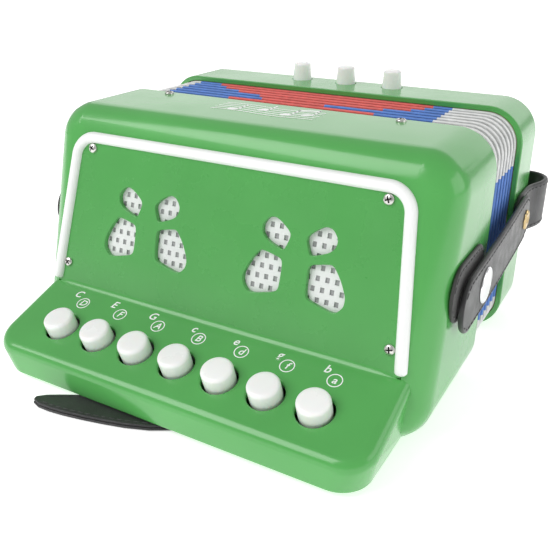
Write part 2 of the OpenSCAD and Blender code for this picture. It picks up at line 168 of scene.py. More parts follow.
def metal(name, color, rough, stretch=(1, 1, 1), scratch=900):
    m = new_material(name, color, rough, metallic=1.0)
    v = coordinates(m, stretch)
    vary_color(m, noise(m, v, 160, 4), scaled(color, 0.8), scaled(color, 1.08))
    vary_rough(m, noise(m, v, 300, 5), rough * 0.7, rough * 1.5)
    bump(m, [(noise(m, v, scratch, 4), 0.00003, 0.5)])
    return m


def leather(name, color, rough):
    m = new_material(name, color, rough, sheen=0.15)
    v = coordinates(m)
    vor = add(m, "ShaderNodeTexVoronoi")
    vor.feature = "DISTANCE_TO_EDGE"
    vor.inputs["Scale"].default_value = 1250
    m.node_tree.links.new(v, vor.inputs["Vector"])
    vary_color(m, noise(m, v, 90, 5), scaled(color, 0.7), scaled(color, 1.6))
    vary_rough(m, noise(m, v, 140, 4), rough * 0.8, rough * 1.3)
    bump(m, [(noise(m, v, 60, 3), 0.0006, 0.3), (vor.outputs["Distance"], 0.00025, 0.5),
             (noise(m, v, 3000, 3), 0.00005, 0.4)])
    return m


def cloth(name, color, rough=0.62):
    m = new_material(name, color, rough, sheen=0.25)
    heights = []
    v = coordinates(m)
    for axis in "XYZ":
        w = add(m, "ShaderNodeTexWave", bands_direction=axis)
        w.inputs["Scale"].default_value = 520
        w.inputs["Distortion"].default_value = 1.2
        m.node_tree.links.new(v, w.inputs["Vector"])
        heights.append((w.outputs["Fac"], 0.00006, 0.35))
    vary_color(m, noise(m, v, 240, 5), scaled(color, 0.84), scaled(color, 1.1))
    bump(m, heights + [(noise(m, v, 1500, 4), 0.00006, 0.5)])
    return m


def wood(name, dark, light):
    m = new_material(name, light, 0.55)
    v = coordinates(m, (1, 1, 9))
    n = noise(m, v, 60, 8, 0.65)
    vary_color(m, n, dark, light, 0.35, 0.62)
    vary_rough(m, noise(m, v, 200, 3), 0.45, 0.7)
    bump(m, [(n, 0.0001, 0.5)])
    return m


GREEN = (0.085, 0.39, 0.086)
mat_green = plastic("case_green", GREEN, 0.2, coat=0.25)
mat_panel = plastic("panel_green", (0.075, 0.355, 0.077), 0.27, coat=0.1)
mat_white = plastic("button_white", (0.94, 0.94, 0.93), 0.3, coat=0.15, sub=0.08)
mat_bead = plastic("trim_white", (0.92, 0.93, 0.92), 0.34)
mat_mesh = plastic("mesh_white", (0.78, 0.80, 0.79), 0.4)
mat_scrim = cloth("grille_scrim", (0.34, 0.35, 0.35))
mat_print = plastic("print_white", (0.98, 0.98, 0.98), 0.35)
mat_nickel = metal("screw_nickel", (0.72, 0.71, 0.68), 0.24)
# near-black painted shade for the inside of the screws' cross recesses, not a colour of the nickel
mat_recess_shade = metal("screw_recess_painted_shade", (0.06, 0.06, 0.055), 0.5)
mat_steel = metal("spring_steel", (0.55, 0.55, 0.56), 0.3, (0.2, 4, 4))
mat_chrome = metal("stud_chrome", (0.86, 0.87, 0.88), 0.09)
mat_brass = metal("rivet_brass", (0.62, 0.47, 0.24), 0.26)
mat_reed = metal("reed_brass", (0.72, 0.53, 0.25), 0.32, (6, 1, 0.4))
mat_leather = leather("strap_leather", (0.016, 0.016, 0.017), 0.36)
mat_thread = cloth("strap_thread", (0.035, 0.035, 0.037), 0.5)
mat_edge = leather("strap_edge", (0.03, 0.029, 0.028), 0.55)
mat_blue = cloth("bellows_blue", (0.10, 0.25, 0.68))
mat_red = cloth("bellows_red", (0.82, 0.14, 0.12))
mat_pale = cloth("bellows_white", (0.80, 0.81, 0.80))
mat_wood = wood("board_plywood", (0.38, 0.24, 0.12), (0.66, 0.48, 0.28))
mat_lever = plastic("lever_plastic", (0.07, 0.07, 0.075), 0.42)
mat_felt = cloth("pallet_felt", (0.45, 0.34, 0.22), 0.9)
mat_floor = plastic("floor_pale", (0.9, 0.9, 0.9), 0.85)


# ---------- mesh helpers ----------

def finish_mesh(me, mats, smooth=35.0):
    me.transform(Matrix.Scale(0.001, 4))
    for m in mats:
        me.materials.append(m)
    if smooth:
        me.shade_smooth()
        me.set_sharp_from_angle(angle=math.radians(smooth))
    me.update()


def show(name, me, mats, body, smooth=35.0, weighted=False):
    finish_mesh(me, mats, smooth)
    o = bpy.data.objects.new(name, me)
    bpy.context.scene.collection.objects.link(o)
    if weighted:
        w = o.modifiers.new("weighted", "WEIGHTED_NORMAL")
        w.keep_sharp = True
        w.weight = 90
    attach(o, body)
    return o


def mesh_from(verts, faces):
    me = bpy.data.meshes.new("m")
    me.from_pydata([tuple(v) for v in verts], [], faces)
    me.validate()
    return me


def bm_to_mesh(bm):
    bmesh.ops.recalc_face_normals(bm, faces=bm.faces)
    me = bpy.data.meshes.new("m")
    bm.to_mesh(me)
    bm.free()
    return me


def hull_mesh(points):
    bm = bmesh.new()
    for p in points:
        bm.verts.new(p)
    bmesh.ops.remove_doubles(bm, verts=bm.verts, dist=1e-4)
    r = bmesh.ops.convex_hull(bm, input=bm.verts)
    gone = {v for v in r["geom_interior"] + r["geom_unused"] if isinstance(v, bmesh.types.BMVert)}
    gone |= {v for v in bm.verts if not v.link_faces}
    bmesh.ops.delete(bm, geom=list(gone), context="VERTS")
    bmesh.ops.dissolve_limit(bm, angle_limit=math.radians(0.4), verts=bm.verts, edges=bm.edges)
    return bm_to_mesh(bm)


def box_mesh(x0, x1, y0, y1, z0, z1, matrix=None):
    me = mesh_from([(x, y, z) for x in (x0, x1) for y in (y0, y1) for z in (z0, z1)],
                   [(0, 1, 3, 2), (4, 6, 7, 5), (0, 4, 5, 1), (2, 3, 7, 6), (0, 2, 6, 4), (1, 5, 7, 3)])
    if matrix is not None:
        me.transform(matrix)
    return me


def side_box(side, near, far, *rest):
    """Box between two distances from the middle, on one side; rest is y0, y1, z0, z1 and a matrix."""
    x0, x1 = sorted((side * near, side * far))
    return box_mesh(x0, x1, *rest)


def lathe_mesh(profile, n=48, matrix=None, radius=None):
    """Solid of revolution round Z from a profile of (r, z); radius(angle, r) may vary the radius."""
    verts, faces, rings = [], [], []
    for r, z in profile:
        if r < 1e-6:
            rings.append([len(verts)])
            verts.append((0, 0, z))
        else:
            ring = []
            for k in range(n):
                a = 2 * math.pi * k / n
                rr = radius(a, r) if radius else r
                ring.append(len(verts))
                verts.append((rr * math.cos(a), rr * math.sin(a), z))
            rings.append(ring)
    for a, b in zip(rings, rings[1:]):
        for k in range(n):
            k2 = (k + 1) % n
            if len(a) == 1 and len(b) > 1:
                faces.append((a[0], b[k2], b[k]))
            elif len(b) == 1 and len(a) > 1:
                faces.append((a[k], a[k2], b[0]))
            elif len(a) > 1:
                faces.append((a[k], a[k2], b[k2], b[k]))
    for ring in (rings[0], rings[-1]):
        if len(ring) > 1:
            faces.append(tuple(ring))
    me = mesh_from(verts, faces)
    bm = bmesh.new()
    bm.from_mesh(me)
    me = bm_to_mesh(bm)
    if matrix is not None:
        me.transform(matrix)
    return me


def prism_mesh(outline, z0, z1, matrix=None):
    n = len(outline)
    bm = bmesh.new()
    low = [bm.verts.new((p[0], p[1], z0)) for p in outline]
    high = [bm.verts.new((p[0], p[1], z1)) for p in outline]
    bm.faces.new(low)
    bm.faces.new(high)
    for k in range(n):
        bm.faces.new((low[k], low[(k + 1) % n], high[(k + 1) % n], high[k]))
    me = bm_to_mesh(bm)
    if matrix is not None:
        me.transform(matrix)
    return me


def loft_mesh(rings, closed_path=False):
    """Skin over rings of equal length; flat caps at both ends."""
    n = len(rings[0])
    verts = [p for ring in rings for p in ring]
    faces = []
    count = len(rings)
    for i in range(count if closed_path else count - 1):
        a, b = i * n, ((i + 1) % count) * n
        for k in range(n):
            faces.append((a + k, a + (k + 1) % n, b + (k + 1) % n, b + k))
    if not closed_path:
        faces.append(tuple(range(n)))
        faces.append(tuple(range((count - 1) * n, count * n)))
    me = mesh_from(verts, faces)
    bm = bmesh.new()
    bm.from_mesh(me)
    return bm_to_mesh(bm)


def joined(meshes, slots=None):
    """One mesh from several; slots gives each part's material index."""
    bm = bmesh.new()
    for k, me in enumerate(meshes):
        before = len(bm.faces)
        bm.from_mesh(me)
        bm.faces.ensure_lookup_table()
        if slots:
            for f in bm.faces[before:]:
                f.material_index = slots[k]
    me = bpy.data.meshes.new("joined")
    bm.to_mesh(me)
    bm.free()
    return me


def boolean(me, steps):
    """Applies exact booleans in turn; steps is a list of (operation, mesh)."""
    o = bpy.data.objects.new("solid", me)
    bpy.context.scene.collection.objects.link(o)
    tools = []
    for op, tool in steps:
        t = bpy.data.objects.new("tool", tool)
        bpy.context.scene.collection.objects.link(t)
        tools.append(t)
        b = o.modifiers.new("b", "BOOLEAN")
        b.operation = op
        b.solver = "EXACT"
        b.object = t
    dg = bpy.context.evaluated_depsgraph_get()
    out = bpy.data.meshes.new_from_object(o.evaluated_get(dg))
    for t in tools + [o]:
        bpy.data.objects.remove(t)
    return out


# ---------- casings ----------

def disc_points(major, minor, n=72, m=10):
    """Outer half of a torus round Z: the rounded edge of a disc."""
    pts = []
    for i in range(n):
        a = 2 * math.pi * i / n
        for j in range(m + 1):
            s = -math.pi / 2 + math.pi * j / m
            rad = major + minor * math.cos(s)
            pts.append(Vector((rad * math.cos(a), rad * math.sin(a), minor * math.sin(s))))
    return pts


def rounded_section(w, h, r, n=18):
    """Rounded rectangle standing on z = 0; (x, z) points."""
    pts = []
    for cx, cz, a0 in ((w / 2 - r, r, -90), (w / 2 - r, h - r, 0), (-w / 2 + r, h - r, 90), (-w / 2 + r, r, 180)):
        for k in range(n + 1):
            a = math.radians(a0 + 90 * k / n)
            pts.append((cx + r * math.cos(a), cz + r * math.sin(a)))
    return pts


def slab_points(y, inset):
    return [Vector((x, y, z + inset)) for x, z in
            rounded_section(2 * HALF_W - 2 * inset, CASE_H - 2 * inset, CORNER_R - inset)]


def placed(points, matrix):
    return [matrix @ p for p in points]


def front_hull(inset):
    pts = []
    if inset == 0:
        for y, i in ((JOIN_Y, 0.7), (JOIN_Y - 0.2, 0.2), (JOIN_Y - 0.7, 0.0)):
            pts += slab_points(y, i)
    else:
        pts += slab_points(JOIN_Y, inset)
    disc = disc_points(CORNER_R - FRONT_R, FRONT_R - inset)
    for z in (CORNER_R, CASE_H - CORNER_R):
        y = PANEL_Y_TOP - math.tan(TILT) * (CASE_H - z) + FRONT_R / math.cos(TILT)
        for side in (-1, 1):
            pts += placed(disc, Matrix.Translation((side * (HALF_W - CORNER_R), y, z))
                          @ Matrix.Rotation(math.pi / 2 - TILT, 4, "X"))
    return hull_mesh(pts)


def shelf_hull(inset):
    pts = []
    r = SHELF_EDGE - inset
    disc = disc_points(SHELF_R - SHELF_EDGE, r, 64, 10)
    front_y = ROW_Y - SHELF_FRONT * math.cos(SHELF_TILT) + SHELF_DRAFT
    foot_half = SHELF_W / 2 - SHELF_DRAFT
    foot = 1.2 if inset == 0 else 0.0
    for side in (-1, 1):
        pts += placed(disc, shelf_matrix(side * (SHELF_W / 2 - SHELF_R))
                      @ Matrix.Translation((0, SHELF_R - SHELF_FRONT, -SHELF_EDGE)))
        pts += placed(disc_points(0.001, r, 40, 10), shelf_matrix(side * (SHELF_W / 2 - SHELF_EDGE))
                      @ Matrix.Translation((0, 27, -SHELF_EDGE)))
        for cx, cy, cr in ((side * (foot_half - SHELF_R), front_y + SHELF_R, SHELF_R - inset),
                           (side * (foot_half - SHELF_EDGE), -44, r)):
            for grow, z in ((-foot, SHELF_LIFT + inset), (-foot * 0.3, SHELF_LIFT + inset + foot * 0.3),
                            (0, SHELF_LIFT + inset + foot)):
                for k in range(64):
                    a = 2 * math.pi * k / 64
                    pts.append(Vector((cx + (cr + grow) * math.cos(a), cy + (cr + grow) * math.sin(a), z)))
    return hull_mesh(pts)


def panel_outline(grow, n=14):
    lean = math.atan((PANEL_FOOT - PANEL_HEAD) / PANEL_H)
    r, cx, cy = PANEL_R + grow, PANEL_HEAD - PANEL_R, PANEL_H - PANEL_R
    pts = [(PANEL_FOOT + grow, 0.2 - grow)]
    for k in range(n + 1):
        a = lean + (math.pi / 2 - lean) * k / n
        pts.append((cx + r * math.cos(a), cy + r * math.sin(a)))
    for k in range(n + 1):
        a = math.pi / 2 + (math.pi / 2 - lean) * k / n
        pts.append((-cx + r * math.cos(a), cy + r * math.sin(a)))
    pts.append((-PANEL_FOOT - grow, 0.2 - grow))
    return pts


def crease_fillet():
    """Concave fillet where the shelf meets the front."""
    up = Vector((0, math.sin(TILT), math.cos(TILT)))
    out = Vector((0, -math.cos(SHELF_TILT), -math.sin(SHELF_TILT)))
    bis = (up + out).normalized()
    half = up.angle(out) / 2
    rings = []
    for x, r in ((-79, 0.2), (-77.5, 1.6), (-75, 2.8), (-72, 3.4), (72, 3.4), (75, 2.8), (77.5, 1.6), (79, 0.2)):
        p = Vector((x, CREASE_Y, CREASE_Z))
        centre = p + bis * (r / math.sin(half))
        a = p + up * (r / math.tan(half))
        b = p + out * (r / math.tan(half))
        ring = [p - bis * 1.5]
        for k in range(13):
            t = k / 12
            ring.append(centre + ((a - centre) * (1 - t) + (b - centre) * t).normalized() * r)
        rings.append(ring)
    return loft_mesh(rings)


def hole_cutter(r, flare, depth, height, matrix):
    prof = [(0, -depth), (r, -depth), (r, -flare)]
    for k in range(1, 7):
        a = math.pi / 2 * k / 6
        prof.append((r + flare * (1 - math.cos(a)), -flare + flare * math.sin(a)))
    prof += [(r + flare, height), (0, height)]
    return lathe_mesh(prof, 56, matrix)


def treble_casing():
    pm = panel_matrix()
    steps = [("UNION", shelf_hull(0))]
    # what stands inside is left out of the cavity: the rod posts, then the lugs behind the panel's screws
    kept = [side_box(side, 66.5, 71.5, -39.28, -29.28, 1, 31.6) for side in (-1, 1)]
    lug_z = (-PANEL_T - 5, -PANEL_T)
    for side in (-1, 1):
        x, y = SCREW_HEAD
        kept.append(side_box(side, x - 4, x + 4, y - 5, y + 19, *lug_z, pm))
        x, y = SCREW_FOOT
        kept.append(side_box(side, x - 4, x + 14, y - 4, y + 4, *lug_z, pm))
    cavity = boolean(front_hull(WALL), [("DIFFERENCE", me) for me in kept])
    steps.append(("DIFFERENCE", cavity))
    steps.append(("DIFFERENCE", shelf_hull(WALL)))
    opening = [Vector((p.x, y, p.z)) for y in (JOIN_Y - 2, JOIN_Y + 1) for p in slab_points(0, WALL)]
    steps.append(("DIFFERENCE", hull_mesh(opening)))
    steps.append(("DIFFERENCE", prism_mesh(panel_outline(0.25), -PANEL_T, 10, pm)))
    for i in range(1, 8):
        steps.append(("DIFFERENCE", hole_cutter(HOLE_R, 0.9, 10, 10, shelf_matrix(key_x(i)))))
    steps.append(("UNION", crease_fillet()))
    me = boolean(front_hull(0), steps)
    o = show("treble_shell", me, [mat_green], "treble_end", 32, weighted=True)
    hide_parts("treble_casing")


def bass_hull(inset):
    pts = []
    if inset == 0:
        for y, i in ((RIM_Y, 0.7), (RIM_Y + 0.2, 0.2), (RIM_Y + 0.7, 0.0)):
            pts += slab_points(y, i)
    else:
        pts += slab_points(RIM_Y, inset)
    disc = disc_points(CORNER_R - BACK_R, BACK_R - inset)
    for z in (CORNER_R, CASE_H - CORNER_R):
        for side in (-1, 1):
            pts += placed(disc, Matrix.Translation((side * (HALF_W - CORNER_R), BACK_Y - BACK_R, z))
                          @ Matrix.Rotation(math.pi / 2, 4, "X"))
    return hull_mesh(pts)


def bass_casing():
    opening = [Vector((p.x, y, p.z)) for y in (RIM_Y - 1, RIM_Y + 2) for p in slab_points(0, WALL)]
    steps = [("DIFFERENCE", bass_hull(WALL)), ("DIFFERENCE", hull_mesh(opening))]
    for i in (1, 2, 3):
        m = Matrix.Translation(((i - 2) * BASS_PITCH, BASS_ROW_Y, CASE_H))
        steps.append(("DIFFERENCE", hole_cutter(4.9, 0.5, 10, 10, m)))
    me = boolean(bass_hull(0), steps)
    o = show("bass_shell", me, [mat_green], "bass_end", 32, weighted=True)
    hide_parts("bass_casing")


# ---------- front panel, bead, mesh ----------

# sound holes on the right of a group's middle; softened() rounds their corners
UPPER = [(3, 41.6), (7.5, 45.3), (10.4, 46.7), (13.2, 46.1), (15.4, 42.9), (14.9, 39.8), (12.5, 37.5),
         (5.6, 35), (4.6, 36.9)]
LOWER = [(5.3, 30.4), (6.4, 32.1), (14, 33.7), (15.5, 33.1), (18.6, 28.8), (21.2, 23.2), (21, 19.7),
         (18.6, 17), (16, 16.7), (7, 19), (5.6, 20.5)]


def softened(points, rounds=3, cut=0.2):
    """Outline with its corners cut again and again until they are round."""
    for _ in range(rounds):
        out = []
        for k, p in enumerate(points):
            q = points[(k + 1) % len(points)]
            out.append((p[0] * (1 - cut) + q[0] * cut, p[1] * (1 - cut) + q[1] * cut))
            out.append((p[0] * cut + q[0] * (1 - cut), p[1] * cut + q[1] * (1 - cut)))
        points = out
        cut = 0.25
    return points


def plate_mesh(outlines, thickness, bevel, matrix):
    """Flat plate with holes and rounded edges, its outer face on z = 0."""
    c = bpy.data.curves.new("plate", "CURVE")
    c.dimensions = "2D"
    c.fill_mode = "BOTH"
    for pts in outlines:
        s = c.splines.new("POLY")
        s.points.add(len(pts) - 1)
        for k, p in enumerate(pts):
            s.points[k].co = (p[0], p[1], 0, 1)
        s.use_cyclic_u = True
    c.extrude = thickness / 2 - bevel
    c.bevel_depth = bevel
    c.bevel_resolution = 3 if bevel else 0
    c.offset = -bevel
    o = bpy.data.objects.new("plate", c)
    bpy.context.scene.collection.objects.link(o)
    dg = bpy.context.evaluated_depsgraph_get()
    me = bpy.data.meshes.new_from_object(o.evaluated_get(dg))
    bpy.data.objects.remove(o)
    bm = bmesh.new()
    bm.from_mesh(me)
    bmesh.ops.remove_doubles(bm, verts=bm.verts, dist=1e-4)
    me = bm_to_mesh(bm)
    me.transform(matrix @ Matrix.Translation((0, 0, -thickness / 2)))
    return me


def front_panel():
    outlines = [panel_outline(-0.1, 20)]
    for centre in (-GRILLE_X, GRILLE_X):
        for side in (-1, 1):
            for lobe in (UPPER, LOWER):
                outlines.append([(centre + side * x, y) for x, y in softened(lobe)])
    me = plate_mesh(outlines, PANEL_T, 0.35, panel_matrix())
    o = show("front_panel", me, [mat_panel], "treble_end", 32, True)
    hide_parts("grille_panel")


def trim_moulding():
    """Half-round bead with rounded ends along the panel's outline."""
    radius, end_length, spacing = 2.3, 1.6, 3
    path = [Vector((x, y, 0)) for x, y in panel_outline(0, 24)]
    path[0] = Vector((PANEL_FOOT - 0.05, 1.2, 0))
    path[-1] = Vector((-PANEL_FOOT + 0.05, 1.2, 0))
    dense = []
    for a, b in zip(path, path[1:]):
        steps = max(1, int((b - a).length / spacing))
        dense += [a.lerp(b, k / steps) for k in range(steps)]
    dense.append(path[-1])
    half_round = [(-math.cos(math.pi * k / 14), math.sin(math.pi * k / 14)) for k in range(15)]
    prof = [(-1, -0.15)] + half_round + [(1, -0.15)]
    rings = []

    def ring(p, d, f):
        n = Vector((-d.y, d.x, 0))
        return [p + n * (u * radius * f) + Vector((0, 0, w * radius * f - 0.02)) for u, w in prof]

    for k, p in enumerate(dense):
        d = (dense[min(k + 1, len(dense) - 1)] - dense[max(k - 1, 0)]).normalized()
        if k in (0, len(dense) - 1):
            sign = 1 if k == 0 else -1
            for t in (0.05, 0.35, 0.65, 0.87, 0.97)[::sign]:
                rings.append(ring(p + d * (sign * end_length * (1 - math.sqrt(1 - t * t))), d, t))
            continue
        rings.append(ring(p, d, 1.0))
    me = loft_mesh(rings)
    me.transform(panel_matrix())
    o = show("trim_moulding", me, [mat_bead], "treble_end", 40)
    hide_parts("trim_bead")


def rectangle(u, v, half_u, half_v):
    return [(u - half_u, v - half_v), (u + half_u, v - half_v), (u + half_u, v + half_v), (u - half_u, v + half_v)]


def sound_mesh():
    """Two sheets punched with staggered rows of holes, each with a scrim behind it."""
    pm = panel_matrix()
    pitch_u, pitch_v, stagger = 3.9, 4.0, 1.55
    middle, half_v = (GRILLE_FOOT + GRILLE_HEAD) / 2, (GRILLE_HEAD - GRILLE_FOOT) / 2
    meshes = []
    for centre in (-GRILLE_X, GRILLE_X):
        outlines = [rectangle(centre, middle, GRILLE_HALF, half_v)]
        for row in range(9):
            u = centre - 23.2 + (row * stagger) % pitch_u
            while u < centre + 23.4:
                outlines.append(rectangle(u, 15.4 + row * pitch_v, 0.85, 1.0))
                u += pitch_u
        meshes.append(plate_mesh(outlines, 0.5, 0.0, pm @ Matrix.Translation((0, 0, -PANEL_T - 0.02))))
        left, right = centre - GRILLE_HALF, centre + GRILLE_HALF
        meshes.append(box_mesh(left, right, GRILLE_FOOT, GRILLE_HEAD, -3.0, -2.75, pm))
    o = show("sound_mesh", joined(meshes, [0, 1] * 2), [mat_mesh, mat_scrim], "treble_end", 30)
    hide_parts("grille_mesh")


# ---------- screws, buttons ----------

def screw_mesh(matrix, angle):
    """Domed screw with a cross recess, whose faces take the second material: near-black painted shade standing in
    for the shade inside the recess.
    """
    shank, head, length, rim, dome = 1.2, 2.0, 5, 0.45, 0.85
    arm, arm_half, recess_z = 1.25, 0.27, 0.55
    prof = [(0, -length), (shank, -length), (shank, -0.1), (head, -0.1), (head, rim)]
    prof += [(head * math.cos(a), rim + dome * math.sin(a)) for a in [math.pi / 2 * k / 7 for k in range(1, 7)]]
    prof.append((0, rim + dome))
    me = boolean(lathe_mesh(prof, 32), [("DIFFERENCE", box_mesh(-arm, arm, -arm_half, arm_half, recess_z, 2)),
                                        ("DIFFERENCE", box_mesh(-arm_half, arm_half, -arm, arm, recess_z, 2))])
    bm = bmesh.new()
    bm.from_mesh(me)
    for f in bm.faces:
        c = f.calc_center_median()
        inside = (abs(c.x) < 0.3 and abs(c.y) < 1.3) or (abs(c.y) < 0.3 and abs(c.x) < 1.3)
        # faces inside the cross take the painted shade material
        f.material_index = 1 if inside and c.z > 0.5 and c.z < 1.25 else 0
    bm.to_mesh(me)
    bm.free()
    me.transform(matrix @ Matrix.Rotation(angle, 4, "Z"))
    return me


def screws():
    """The panel's four screws and the two in the casing's top, each turned to its own angle."""
    pm = panel_matrix()
    spots = [(side * x, y) for x, y in (SCREW_HEAD, SCREW_FOOT) for side in (1, -1)]
    me = joined([screw_mesh(pm @ Matrix.Translation((x, y, 0)), 0.4 + k * 0.7) for k, (x, y) in enumerate(spots)])
    o = show("panel_screw_set", me, [mat_nickel, mat_recess_shade], "treble_end")
    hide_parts("panel_screws")
    me = joined([screw_mesh(Matrix.Translation((x, 6, CASE_H)), 0.3 + x) for x in CASING_SCREWS_X])
    o = show("casing_screw_set", me, [mat_nickel, mat_recess_shade], "treble_end")
    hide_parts("casing_screws")


def treble_buttons():
    """Caps with a rounded rim, each tilted a little at random."""
    r, top, rim = 6.15, 5.5, 1.5
    prof = [(0, -4), (r - 0.5, -4), (r, -3.5), (r, top - 2.0)]
    prof += [(r - rim + rim * math.cos(a), top - 1.7 + rim * math.sin(a)) for a in
             [math.pi / 2 * k / 8 for k in range(1, 8)]]
    prof += [(r - 2.4, top - 0.09), (r - 4.2, top - 0.02), (0, top)]
    for i in range(1, 8):
        tilt = Matrix.Rotation(math.radians(random.uniform(-1.3, 1.3)), 4, "X") @ \
            Matrix.Rotation(math.radians(random.uniform(-1.3, 1.3)), 4, "Y")
        me = lathe_mesh(prof, 64, shelf_matrix(key_x(i)) @ tilt)
        o = show(f"treble_cap_{i}", me, [mat_white], f"treble_key_{i}", 40)
        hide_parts(f"treble_button_{i}")


def bass_buttons():
    """Caps with a stem down to the valve plate."""
    r, stem, stem_foot, cap_foot, rim = 4.6, 2, 77.7, 96.3, 1.2
    prof = [(0, stem_foot), (stem, stem_foot), (stem, cap_foot), (r - 0.3, cap_foot), (r, cap_foot + 0.3),
            (r, CASE_H + 0.5), (r - 0.55, CASE_H + 6.2)]
    prof += [(r - 1.75 + rim * math.cos(a), CASE_H + 6.75 + rim * math.sin(a)) for a in
             [math.pi / 2 * k / 6 for k in range(0, 6)]]
    prof += [(r - 2.2, CASE_H + 7.97), (0, CASE_H + 8)]
    for i in (1, 2, 3):
        me = lathe_mesh(prof, 48, Matrix.Translation(((i - 2) * BASS_PITCH, BASS_ROW_Y, 0)))
        o = show(f"bass_cap_{i}", me, [mat_white], f"bass_key_{i}", 40)
        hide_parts(f"bass_button_{i}")


# ---------- bellows ----------

BLUE, RED, WHITE = 0, 1, 2  # material indices of the bellows
SIDE_X, TOP_Z = HALF_W - INSET, CASE_H - INSET  # outer surface of the bellows
STEPS_LONG, STEPS_SHORT = 70, 44  # faces along a side, so that the colours' edges are crisp


def fold_section(depth, n=9):
    """Rounded rectangle at a depth below the bellows' outer surface, with dense straight sides; (x, z) points."""
    w, h = 2 * (SIDE_X - depth), TOP_Z - INSET - 2 * depth
    r = max(CORNER_R - INSET - depth, 0.7)
    pts = []
    corners = ((w / 2 - r, r, -90), (w / 2 - r, h - r, 0), (-w / 2 + r, h - r, 90), (-w / 2 + r, r, 180))
    for k, (cx, cz, a0) in enumerate(corners):
        arc = [(cx + r * math.cos(math.radians(a0 + 90 * j / n)), cz + r * math.sin(math.radians(a0 + 90 * j / n)))
               for j in range(n + 1)]
        nx, nz, na = corners[(k + 1) % 4]
        nxt = (nx + r * math.cos(math.radians(na)), nz + r * math.sin(math.radians(na)))
        count = STEPS_SHORT if k in (0, 2) else STEPS_LONG
        last = arc[-1]
        pts += arc
        pts += [(last[0] + (nxt[0] - last[0]) * j / count, last[1] + (nxt[1] - last[1]) * j / count)
                for j in range(1, count)]
    return [(x, z + INSET + depth) for x, z in pts]


# ends of the red field in x, for each half pleat from the bass end to the treble end
LEFT_EDGE = [-60, -57, -53, -48, -42, -35, -27, -23, -24, -33, -39, -41, -42, -42, -43, -43]
RIGHT_EDGE = [51, 50, 48, 46, 44, 41, 34, 15, 9, 16, 33, 37, 40, 41, 42, 42]


def zone(x, y, z):
    """Colour of the bellows at a rest position; edges step from half pleat to half pleat."""
    h = min(15, max(0, int((RIM_Y - y) / (PLEAT / 2))))
    step = 0.9 if h % 2 else -0.9
    on_top, below = z > 84.6, z < 18.4
    if (on_top or below) and abs(x) < 76:
        if x < -71.5 + step or x > 61 + step:
            return WHITE
        return RED if LEFT_EDGE[h] < x < RIGHT_EDGE[h] else BLUE
    if abs(x) >= 70 and 18 + step < z < 80.5 + step:
        return BLUE
    return WHITE


def colour_faces(me):
    """A point deep in a fold takes the colour of the surface above it; the corners are white."""
    for f in me.polygons:
        x, y, z = f.center
        on_side = SIDE_X - abs(x) <= min(z - INSET, TOP_Z - z) + 0.01
        if on_side:
            f.material_index = WHITE if z > 86 or z < 17 else zone(math.copysign(88, x), y, z)
        else:
            f.material_index = WHITE if abs(x) > 74 else zone(x, y, TOP_Z if z > 50 else 3.0)


# depth below the surface, and distance along y from the fold's middle
FLANK = [(0.0, 0.0), (0.12, 0.42), (0.5, 0.86), (1.2, 1.22), (2.6, 1.6), (5.5, 2.0), (9.5, 2.33), (13.4, 2.5)]


def bellows():
    bodies = ["treble_end"] + [f"fold_{k}" for k in range(1, 8)] + ["bass_end"]
    mats = [mat_blue, mat_red, mat_pale]
    for k in range(8):
        y0, y1 = JOIN_Y + k * PLEAT, JOIN_Y + (k + 1) * PLEAT
        prof = [(d, y0 + w) for d, w in FLANK[2:]] + [(d, y1 - w) for d, w in reversed(FLANK[2:])]
        # two-sided membrane: outer skin, then an inner skin 0.5 below it
        loop = prof + [(d + 0.6, y) for d, y in reversed(prof)]
        me = loft_mesh([[(x, y, z) for x, z in fold_section(d)] for d, y in loop], closed_path=True)
        colour_faces(me)
        finish_mesh(me, mats, 50)
        o = bpy.data.objects.new(f"bellows_pleat_{k + 1}", me)
        bpy.context.scene.collection.objects.link(o)
        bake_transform(o)
    # the stiff ridge between two pleats, with its own inner skin
    for k in range(9):
        y = JOIN_Y + k * PLEAT
        outer = [(d, y - w) for d, w in reversed(FLANK[:5])] + [(d, y + w) for d, w in FLANK[1:5]]
        if k == 0:
            outer = [(0.0, y - 3.0)] + [(d, y + w) for d, w in FLANK[:5]]
        if k == 8:
            outer = [(d, y - w) for d, w in reversed(FLANK[:5])] + [(0.0, y + 0.7)]
        loop = outer + [(d + 0.55, yy + (0 if abs(yy - y) < 0.1 else (y - yy) * 0.3)) for d, yy in reversed(outer)]
        me = loft_mesh([[(x, yy, z) for x, z in fold_section(d)] for d, yy in loop], closed_path=True)
        colour_faces(me)
        o = show(f"bellows_ridge_{k}", me, mats, bodies[k], 50)
        if k == 0:
            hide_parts("bellows_end_treble")
        elif k == 8:
            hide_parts("bellows_end_bass")
        else:
            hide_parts(f"bellows_fold_{k}")


# ---------- straps ----------

def ribbon_mesh(stations, thickness):
    """Strap through stations (centre, across, normal, half width), with rounded edges."""
    ht = thickness / 2
    rings = []
    for p, a, n, hw in stations:
        core = max(hw - ht, 0.02)
        edge = min(ht, hw)
        ring = [p + a * (core + edge * math.cos(t)) + n * (ht * math.sin(t)) for t in
                [-math.pi / 2 + math.pi * k / 8 for k in range(9)]]
        ring += [p + a * (core * f) + n * (ht * (1.0 + 0.06 * (1 - f * f))) for f in (0.8, 0.4, 0, -0.4, -0.8)]
        ring += [p - a * (core + edge * math.cos(t)) - n * (ht * math.sin(t)) for t in
                 [-math.pi / 2 + math.pi * k / 8 for k in range(9)]]
        ring += [p + a * (core * f) - n * ht for f in (-0.8, -0.4, 0, 0.4, 0.8)]
        rings.append(ring)
    return loft_mesh(rings)


def capsule_mesh(p0, p1, r, n=8):
    """One stitch: a short rod with blunt ends."""
    d = p1 - p0
    q = d.to_track_quat("Z", "Y").to_matrix().to_4x4()
    length = d.length
    prof = [(0, -r * 0.6), (r * 0.7, -r * 0.35), (r, 0), (r, length),
            (r * 0.7, length + r * 0.35), (0, length + r * 0.6)]
    return lathe_mesh(prof, n, Matrix.Translation(p0) @ q)


